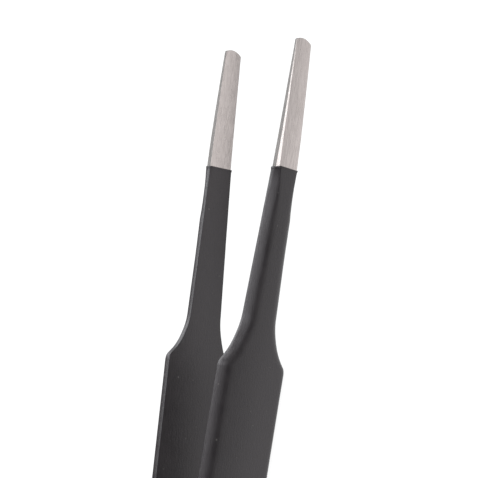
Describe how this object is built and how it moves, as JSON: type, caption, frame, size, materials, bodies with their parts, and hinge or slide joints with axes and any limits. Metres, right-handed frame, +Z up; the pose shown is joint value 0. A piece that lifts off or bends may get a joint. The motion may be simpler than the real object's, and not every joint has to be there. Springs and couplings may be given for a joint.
{
  "type": "anti-static tweezers",
  "caption": "Flat round tip tweezers of bare steel with a black anti-static coating over the handle and neck.",
  "frame": {"origin": "middle of the length, midway between the arms, on the table that the tweezers lie on", "axes": "+X runs from the tail to the tips, +Y runs from the front arm to the back arm, +Z is up"},
  "size_m": [0.12, 0.0124, 0.0104],
  "materials": {
    "steel": "ground satin",
    "coating": "satin, slightly uneven"
  },
  "bodies": {
    "root": {"back_arm": "steel", "front_arm": "steel", "antistatic_coating": "coating"}
  },
  "joints": []
}
